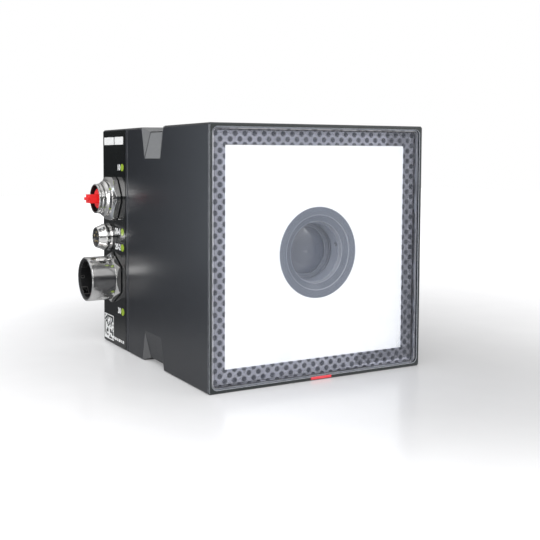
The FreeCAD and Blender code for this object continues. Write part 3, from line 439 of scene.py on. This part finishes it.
def lit_opal():
    """Opal plastic with the flash light shining through evenly."""
    material, tree, shader = new_finish("lit_opal", Roughness=0.5, Emission_Strength=0.38)
    marks = effect(tree, SURFACE_GRAIN, Grain_per_metre=2500.0)
    skin = tint(tree, marks["Tone"], (0.86, 0.87, 0.88), (0.92, 0.92, 0.92))
    glow = tint(tree, marks["Tone"], (0.96, 0.98, 1.0), (1.0, 1.0, 1.0))
    wire(tree, shader, Base_Color=skin, Emission_Color=glow,
         Normal=bump(tree, marks["Height"], 0.003 * MM, 0.5))
    return material


def hood_with_painted_highlights():
    """Blue grey plastic with painted highlights: a paler band in the throat, two thin pale rings and pale
    edges.
    """
    # The pale edge colour given here is a painted highlight on the hood's edges.
    material = grained("hood_plastic", (0.163, 0.186, 0.236), drift=0.03, roughness=0.18, grain=5000.0,
                       depth=0.0004, rub_and_highlight_colour=(0.80, 0.83, 0.92))
    tree = material.node_tree
    shader = tree.nodes["Principled BSDF"]
    x, _, z = own_place(tree)
    radius = lens_radius(tree, x, z)
    soft = 0.05 * MM
    # Painted highlights: a paler band in the throat and two thin pale rings at the turned edges.
    throat = between(tree, radius, 10.95 * MM, 11.80 * MM, soft)
    inner_ring_highlight = between(tree, radius, 12.0 * MM, 12.35 * MM, soft)
    outer_ring_highlight = between(tree, radius, 14.62 * MM, 14.95 * MM, soft)
    plain = shader.inputs["Base Color"].links[0].from_socket
    skin = tint(tree, throat, plain, (0.30, 0.33, 0.40))
    skin = tint(tree, maths(tree, "MAXIMUM", inner_ring_highlight, outer_ring_highlight), skin, (0.46, 0.49, 0.56))
    wire(tree, shader, Base_Color=skin)
    return material


def coated_glass():
    """Opaque blue grey coated glass with faint wipe marks; painted reflection makes it paler toward its rim
    and where it is seen edge-on.
    """
    material, tree, shader = new_finish("coated_glass", IOR=1.6, Coat_Weight=0.6, Coat_Roughness=0.03)
    marks = effect(tree, SURFACE_GRAIN, Grain_per_metre=400.0, Drift_per_metre=60.0)
    # Painted sheen: the colour turns paler where the glass is seen edge-on.
    sheen = put(tree, "ShaderNodeLayerWeight", {"Blend": 0.3}).outputs["Facing"]
    x, _, z = own_place(tree)
    # Painted reflection: a paler ring toward the rim of the glass.
    rim = ramp(tree, lens_radius(tree, x, z), 5.2 * MM, 6.6 * MM)
    skin = tint(tree, marks["Tone"], (0.082, 0.098, 0.138), (0.092, 0.109, 0.152))
    skin = tint(tree, times(tree, rim, 0.6), skin, (0.150, 0.172, 0.230))
    skin = tint(tree, sheen, skin, (0.135, 0.150, 0.205))
    wire(tree, shader, Base_Color=skin, Roughness=ramp(tree, marks["Smudge"], 0.0, 1.0, 0.16, 0.22))
    return material


def plated(name, colour, dull, roughness, along=(1.0, 1.0, 1.0), lines=3500.0):
    """Plated or bare metal with tool marks, dull patches and softly rounded edges."""
    material, tree, shader = new_finish(name, Metallic=1.0)
    turned = effect(tree, TOOL_MARKS, Along_x=along[0], Along_y=along[1], Along_z=along[2],
                    Lines_per_metre=lines)
    marks = effect(tree, SURFACE_GRAIN, Grain_per_metre=3000.0, Drift_per_metre=180.0)
    edge = effect(tree, EDGE_RUB_AND_HIGHLIGHT, Radius=0.00022)
    skin = tint(tree, marks["Tone"], dull, colour)
    skin = tint(tree, times(tree, turned["Tone"], 0.25), skin, dull)
    rough = ramp(tree, marks["Smudge"], 0.0, 1.0, roughness, roughness + 0.10)
    wire(tree, shader, Base_Color=skin, Roughness=rough,
         Normal=bump(tree, turned["Height"], 0.002 * MM, 0.5, edge["Normal"]))
    return material


def lined_nickel(name, node, lining_radius, windows):
    """Turned nickel with a black lining in a socket's mouth, with or without two windows and a key."""
    material = plated(name, *NICKEL)
    tree = material.node_tree
    shader = tree.nodes["Principled BSDF"]
    low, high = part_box(node)
    x, y, z = own_place(tree)
    up = minus(tree, z, (low.z + high.z) / 2)
    radius = radius_of(tree, minus(tree, y, (low.y + high.y) / 2), up)
    lining = below(tree, radius, lining_radius, 0.05 * MM)
    if windows:
        soft = 0.1 * MM
        height = maths(tree, "ABSOLUTE", up)
        stand = minus(tree, FILM_FACE, x)
        window_height = between(tree, height, 4.6 * MM, 7.4 * MM, soft)
        window_stand = between(tree, stand, 10.4 * MM, 13.0 * MM, soft)
        key_height = below(tree, height, 0.6 * MM, soft)
        key_stand = between(tree, stand, 11.4 * MM, 12.8 * MM, soft)
        window = times(tree, window_height, window_stand)
        key = times(tree, key_height, key_stand)
        covered = minus(tree, 1.0, maths(tree, "MAXIMUM", window, key))
        lining = times(tree, lining, covered)
    plain = shader.inputs["Base Color"].links[0].from_socket
    rough = shader.inputs["Roughness"].links[0].from_socket
    wire(tree, shader, Base_Color=tint(tree, lining, plain, (0.012, 0.012, 0.013)),
         Metallic=minus(tree, 1.0, lining),
         Roughness=maths(tree, "ADD", rough, times(tree, lining, 0.25)))
    return material


def board_lacquer():
    """Green circuit board with fine paler tracks under the lacquer."""
    material, tree, shader = new_finish("board_lacquer", Roughness=0.35)
    marks = effect(tree, SURFACE_GRAIN, Grain_per_metre=2500.0)
    spots = {"Vector": own_vector(tree), "Scale": 450.0}
    cells = put(tree, "ShaderNodeTexVoronoi", spots, feature="F1", distance="MANHATTAN")
    track = ramp(tree, maths(tree, "PINGPONG", cells.outputs["Distance"], 0.12), 0.05, 0.07)
    skin = tint(tree, marks["Tone"], (0.010, 0.085, 0.030), (0.014, 0.110, 0.040))
    skin = tint(tree, times(tree, track, 0.6), skin, (0.03, 0.20, 0.07))
    wire(tree, shader, Base_Color=skin, Normal=bump(tree, track, 0.03 * MM, 0.6))
    return material


def ribbon_cable():
    """Amber flexible circuit with copper lanes along it."""
    material, tree, shader = new_finish("ribbon_cable", Roughness=0.3)
    x, _, _ = own_place(tree)
    lane = ramp(tree, maths(tree, "PINGPONG", x, 0.5 * MM), 0.2 * MM, 0.3 * MM)
    marks = effect(tree, SURFACE_GRAIN, Grain_per_metre=3000.0)
    skin = tint(tree, lane, (0.30, 0.12, 0.02), (0.50, 0.22, 0.04))
    skin = tint(tree, times(tree, marks["Tone"], 0.2), skin, (0.2, 0.08, 0.02))
    wire(tree, shader, Base_Color=skin, Normal=bump(tree, lane, 0.03 * MM, 0.6))
    return material


def lit_pipe():
    """Yellow green light pipe, lit from behind."""
    material, tree, shader = new_finish("lit_pipe", Roughness=0.22, Emission_Strength=0.06)
    marks = effect(tree, SURFACE_GRAIN, Grain_per_metre=1500.0, Drift_per_metre=400.0)
    skin = tint(tree, marks["Tone"], (0.26, 0.40, 0.02), (0.38, 0.52, 0.05))
    glow = tint(tree, marks["Smudge"], (0.36, 0.56, 0.02), (0.50, 0.70, 0.06))
    wire(tree, shader, Base_Color=skin, Emission_Color=glow,
         Normal=bump(tree, marks["Height"], 0.002 * MM, 0.4))
    return material


def printed_white():
    """White ink on the film, slightly uneven."""
    return grained("printed_white", (0.95, 0.95, 0.94), drift=0.02, roughness=0.5, grain=7000.0, depth=0.002)


def code_checks():
    """Plain black and white cells, scattered at random, inside a white edge."""
    material, tree, shader = new_finish("code_checks", Roughness=0.5)
    marks = effect(tree, SURFACE_GRAIN, Grain_per_metre=7000.0)
    _, y, z = own_place(tree)
    along = minus(tree, y, at_depth(CODE_DEPTH))
    rise = minus(tree, z, CODE_Z * MM)
    column, row = (maths(tree, "FLOOR", maths(tree, "DIVIDE", way, CODE_CELL * MM)) for way in (along, rise))
    cell = put(tree, "ShaderNodeCombineXYZ", {0: column, 1: row}).outputs[0]
    chance = put(tree, "ShaderNodeTexWhiteNoise", {"Vector": cell}, noise_dimensions="3D").outputs["Value"]
    black = maths(tree, "GREATER_THAN", chance, 0.45)
    off = maths(tree, "MAXIMUM", maths(tree, "ABSOLUTE", along), maths(tree, "ABSOLUTE", rise))
    inner = maths(tree, "LESS_THAN", off, CODE_CELLS_EACH_WAY * CODE_CELL * MM)
    pattern = tint(tree, times(tree, black, inner), (0.93, 0.93, 0.92), (0.012, 0.012, 0.013))
    wire(tree, shader, Base_Color=pattern, Normal=bump(tree, marks["Height"], 0.002 * MM, 0.4))
    return material


NICKEL = ((0.86, 0.855, 0.850), (0.70, 0.695, 0.685), 0.12, (1.0, 0.12, 0.12), 4000.0)
FINISHES = {
    "housing": housing_paint(),
    "seal": grained("black_rubber", (0.012, 0.012, 0.013), roughness=0.75, grain=2500.0, depth=0.01),
    "screw_steel": plated("screw_steel", (0.56, 0.57, 0.58), (0.36, 0.37, 0.38), 0.28, (1, 0.1, 1)),
    "window_clear": clear_pane(),
    "bead": grained("clear_bead", (0.56, 0.60, 0.70), roughness=0.2, grain=2000.0, depth=0.002),
    "mask_grey": dotted_print(),
    "light_white": lit_opal(),
    "tray_white": grained("reflector_white", (0.80, 0.80, 0.79), drift=0.03, roughness=0.4),
    "board_green": board_lacquer(),
    "emitter": grained("emitter_yellow", (0.80, 0.72, 0.25), drift=0.08, roughness=0.25, grain=2500.0),
    "hood_grey": hood_with_painted_highlights(),
    "lens_grey": grained("anodised_grey", (0.210, 0.235, 0.295), drift=0.05, roughness=0.28, grain=6500.0,
                         depth=0.001, rub_and_highlight_colour=(0.50, 0.52, 0.58), Metallic=0.1),
    "lens_glass": coated_glass(),
    "chassis_alu": plated("milled_aluminium", (0.62, 0.63, 0.64), (0.50, 0.51, 0.52), 0.32, (1, 0.06, 1),
                          2000.0),
    "chip_black": grained("chip_black", (0.018, 0.018, 0.019), roughness=0.55, grain=3500.0, depth=0.006),
    "flex_amber": ribbon_cable(),
    "standoff_brass": plated("turned_brass", (0.70, 0.50, 0.20), (0.52, 0.36, 0.13), 0.25, (1, 0.1, 1)),
    "film_black": grained("polyester_film", (0.0080, 0.0095, 0.0100), drift=0.10, roughness=0.10,
                          spread=0.05, grain=2600.0, depth=0.001, Specular_IOR_Level=0.35),
    "light_green": lit_pipe(),
    "nickel": plated("turned_nickel", *NICKEL),
    "insert_black": grained("insert_black", (0.010, 0.010, 0.011), roughness=0.45, grain=3500.0,
                            depth=0.005),
    "contact_gold": plated("gilded_contact", (0.86, 0.74, 0.50), (0.72, 0.60, 0.38), 0.18),
    "plug_red": grained("soft_red", (0.95, 0.022, 0.024), drift=0.05, roughness=0.42, grain=2600.0,
                        depth=0.006),
}
WHITE_INK = printed_white()
CODE_CHECKS = code_checks()
LINED_SHELLS = {
    "lower_socket_shell": lined_nickel("lower_socket_nickel", "lower_socket_shell", 9.3 * MM, True),
    "upper_socket_shell": lined_nickel("upper_socket_nickel", "upper_socket_shell", 6.15 * MM, False),
}

for part in frame["record"]["subparts"]:
    mesh = nodes[part["node"]].data
    mesh.materials.clear()
    mesh.materials.append(LINED_SHELLS.get(part["node"]) or FINISHES[part["material_slot"]])


# ---- pieces ----
def add_piece(name, shape, finish, body="camera_body"):
    """Turns a bmesh into a piece that rides on a body."""
    bmesh.ops.recalc_face_normals(shape, faces=shape.faces[:])
    mesh = bpy.data.meshes.new(name)
    shape.to_mesh(mesh)
    shape.free()
    mesh.materials.append(finish)
    piece = bpy.data.objects.new(name, mesh)
    bpy.context.scene.collection.objects.link(piece)
    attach(piece, body)


def join(shape, other):
    """Adds a second bmesh to the first and frees it."""
    carrier = bpy.data.meshes.new("carrier")
    other.to_mesh(carrier)
    other.free()
    shape.from_mesh(carrier)
    bpy.data.meshes.remove(carrier)


def sort_faces(shape):
    """Orders the faces by place, because an extrusion leaves them in another order on each run."""
    by_place = sorted(shape.faces, key=lambda face: tuple(face.calc_center_median()))
    for index, face in enumerate(by_place):
        face.index = index
    shape.faces.sort()


def film_place(depth, z, sunk=0.0):
    """Matrix that lays a flat shape on the film, reading upright from the side."""
    turn = Matrix(((0, 0, -1), (-1, 0, 0), (0, 1, 0))).to_4x4()
    return Matrix.Translation((FILM_FACE + sunk, at_depth(depth), z * MM)) @ turn


def film_plate(shape, depth, z, length, height, corner):
    """Adds a thin plate on the film, centred on a depth and a height; a corner of 0 stays sharp."""
    plate = bmesh.new()
    verts = bmesh.ops.create_grid(plate, x_segments=1, y_segments=1, size=0.5)["verts"]
    bmesh.ops.scale(plate, vec=(length * MM, height * MM, 1), verts=verts)
    if corner > 0:
        bmesh.ops.bevel(plate, geom=verts, offset=corner * MM, segments=4, profile=0.5,
                        affect="VERTICES", material=-1)
    raised = bmesh.ops.extrude_face_region(plate, geom=plate.faces[:], use_keep_orig=True)["geom"]
    raised = [item for item in raised if isinstance(item, bmesh.types.BMVert)]
    bmesh.ops.translate(plate, vec=(0, 0, 2 * PRINT_HALF), verts=raised)
    bmesh.ops.transform(plate, matrix=film_place(depth, z, PRINT_HALF), verts=plate.verts[:])
    sort_faces(plate)
    join(shape, plate)


def film_number(name, text, depth, z, height):
    """Plain number printed on the film, ending at a depth."""
    curve = bpy.data.curves.new(name, "FONT")
    curve.body = text
    curve.size = height * MM * FONT_SIZE_PER_HEIGHT
    curve.extrude = PRINT_HALF
    curve.offset = STROKE_SPREAD
    curve.resolution_u = 3
    curve.align_x = "RIGHT"
    holder = bpy.data.objects.new(name, curve)
    bpy.context.scene.collection.objects.link(holder)
    bpy.context.view_layer.update()
    mesh = bpy.data.meshes.new_from_object(holder)
    bpy.data.objects.remove(holder)
    shape = bmesh.new()
    shape.from_mesh(mesh)
    bmesh.ops.remove_doubles(shape, verts=shape.verts[:], dist=1e-7)
    bmesh.ops.transform(shape, matrix=film_place(depth, z), verts=shape.verts[:])
    add_piece(name, shape, WHITE_INK)


def make_name_field():
    """Blank white field at the top of the film, in two parts."""
    shape = bmesh.new()
    for depth, length in ((98.9, 12.2), (86.7, 10.4)):
        film_plate(shape, depth, z=94.75, length=length, height=3.5, corner=0.4)
    add_piece("name_field", shape, WHITE_INK)


def make_small_print():
    """Row of short bars at the foot of the film."""
    shape = bmesh.new()
    start = 81.6
    gap = 0.75
    for length in (1.6, 1.0, 2.2, 1.2, 1.8, 1.0):
        film_plate(shape, start + length / 2, z=3.45, length=length, height=1.3, corner=0.15)
        start += length + gap
    add_piece("small_print", shape, WHITE_INK)


def make_code_square():
    side = (2 * CODE_CELLS_EACH_WAY + 1) * CODE_CELL
    shape = bmesh.new()
    film_plate(shape, CODE_DEPTH, CODE_Z, length=side, height=side, corner=0.0)
    add_piece("code_square", shape, CODE_CHECKS)


make_name_field()
make_small_print()
make_code_square()
for name, text, z in (("number_upper", "10", 81.5), ("number_middle_1", "20-1", 52.4),
                      ("number_middle_2", "20-2", 45.3), ("number_lower", "30", 16.1)):
    film_number(name, text, NUMBER_END, z, NUMBER_HEIGHT)


# ---- floor, light and view ----
def make_floor():
    """Pale polished table top, brighter with distance so that it fades into the white; painted shade dims
    its glow in front of the camera body and toward the right, and darkens it in reflections behind the body.
    """
    shape = bmesh.new()
    bmesh.ops.create_grid(shape, x_segments=1, y_segments=1, size=1.5)
    mesh = bpy.data.meshes.new("floor")
    shape.to_mesh(mesh)
    shape.free()
    material, tree, shader = new_finish("pale_table", Roughness=0.22)
    vector = own_vector(tree)
    x, y, _ = own_place(tree)
    mottle = ramp(tree, clouds(tree, vector, Scale=60.0, Detail=4.0), 0.3, 0.7)
    skin = tint(tree, mottle, (0.770, 0.770, 0.777), (0.780, 0.780, 0.787))
    path = put(tree, "ShaderNodeLightPath").outputs
    seen = maths(tree, "MAXIMUM", path["Is Camera Ray"], path["Is Transmission Ray"])
    away = vector_maths(tree, "LENGTH", vector)
    # Painted shade in reflections: behind the body and to its left, glossy rays see the floor dark.
    behind = times(tree, ramp(tree, y, -0.03, 0.05), ramp(tree, away, 0.06, 0.14, 0.0, 0.88))
    behind = times(tree, behind, ramp(tree, x, 0.0, 0.08, 1.0, 0.0))
    dim = times(tree, path["Is Glossy Ray"], behind)
    skin = tint(tree, dim, skin, (0.06, 0.065, 0.075))
    nearby = ramp(tree, away, 0.05, 0.30, 0.28, 0.9)
    # Painted light and shade: the glow is stronger to the left and weaker to the right.
    sideways = ramp(tree, x, -0.14, 0.10, 1.30, 0.85)
    # Painted shadow: less glow in a soft patch in front of the body, to its right.
    shade_centre = (0.04, -0.09, 0.0)
    shade = ramp(tree, vector_maths(tree, "DISTANCE", vector, shade_centre), 0.0, 0.14, 0.2, 1.0)
    spread = times(tree, times(tree, nearby, sideways), shade)
    spread = maths(tree, "MAXIMUM", spread, ramp(tree, away, 0.12, 0.40, 0.0, 1.2))
    glow = times(tree, seen, spread)
    wire(tree, shader, Base_Color=skin, Emission_Color=skin, Emission_Strength=glow)
    mesh.materials.append(material)
    floor = bpy.data.objects.new("floor", mesh)
    bpy.context.scene.collection.objects.link(floor)


def make_sky():
    """Studio: white to the eye; in reflections dim low down, pale above, with a bright patch in front."""
    world = bpy.data.worlds.new("studio")
    bpy.context.scene.world = world
    world.use_nodes = True
    tree = world.node_tree
    tree.nodes.clear()
    path = put(tree, "ShaderNodeLightPath").outputs
    direction = put(tree, "ShaderNodeTexCoord").outputs["Generated"]
    up = put(tree, "ShaderNodeSeparateXYZ", {0: direction}).outputs[2]
    mirrored = maths(tree, "MAXIMUM", path["Is Glossy Ray"], path["Is Transmission Ray"])
    wall = ramp(tree, up, -0.02, 0.35, 0.05, 0.42)
    ceiling = ramp(tree, up, 0.55, 0.85, 0.0, 0.6)
    patch_way = (0.50, -0.866, 0.03)
    patch = ramp(tree, vector_maths(tree, "DOT_PRODUCT", direction, patch_way), 0.940, 0.985)
    studio = maths(tree, "ADD", maths(tree, "ADD", wall, ceiling), patch)
    ambient = 0.6
    shares = {"Factor": mirrored, 2: ambient, 3: studio}
    strength = put(tree, "ShaderNodeMix", shares, data_type="FLOAT").outputs[0]
    strength = maths(tree, "MAXIMUM", strength, path["Is Camera Ray"])
    background = put(tree, "ShaderNodeBackground", {"Color": (1, 1, 1, 1), "Strength": strength})
    put(tree, "ShaderNodeOutputWorld", {"Surface": background.outputs[0]})


def add_lamp(name, place, aim, width, height, watts, colour=(1, 1, 1)):
    """Rectangular soft lamp that points at a spot."""
    lamp = bpy.data.lights.new(name, "AREA")
    lamp.shape = "RECTANGLE"
    lamp.size = width
    lamp.size_y = height
    lamp.energy = watts
    lamp.color = colour
    holder = bpy.data.objects.new(name, lamp)
    holder.location = place
    holder.rotation_mode = "QUATERNION"
    holder.rotation_quaternion = (Vector(aim) - Vector(place)).to_track_quat("-Z", "Y")
    bpy.context.scene.collection.objects.link(holder)


def make_camera():
    """View from the front left at the object's upper third."""
    lens = bpy.data.cameras.new("view")
    lens.sensor_width = 36
    lens.lens = 56.16
    lens.shift_x = 0.1398
    lens.shift_y = -0.1163
    holder = bpy.data.objects.new("view", lens)
    holder.location = (-0.1924, -0.32252, 0.08745)
    holder.rotation_euler = (math.radians(86.586), 0, math.radians(-26.922))
    bpy.context.scene.collection.objects.link(holder)
    bpy.context.scene.camera = holder


make_floor()
make_sky()
add_lamp("key", (-0.30, -0.70, 0.60), (0, 0, 0.05), 0.75, 0.6, 4.2)
add_lamp("left_strip", (-0.75, -0.36, 0.14), (-0.05, -0.02, 0.05), 0.10, 0.5, 1.3)
add_lamp("left_rear_panel", (-0.245, 0.185, 0.072), (-0.05, -0.05, 0.06), 0.12, 0.14, 0.085,
         (0.82, 0.90, 1.0))
add_lamp("right_panel", (0.55, -0.65, 0.30), (0, 0, 0.05), 0.25, 0.35, 0.6)
make_camera()
bpy.context.scene.view_settings.view_transform = "Standard"
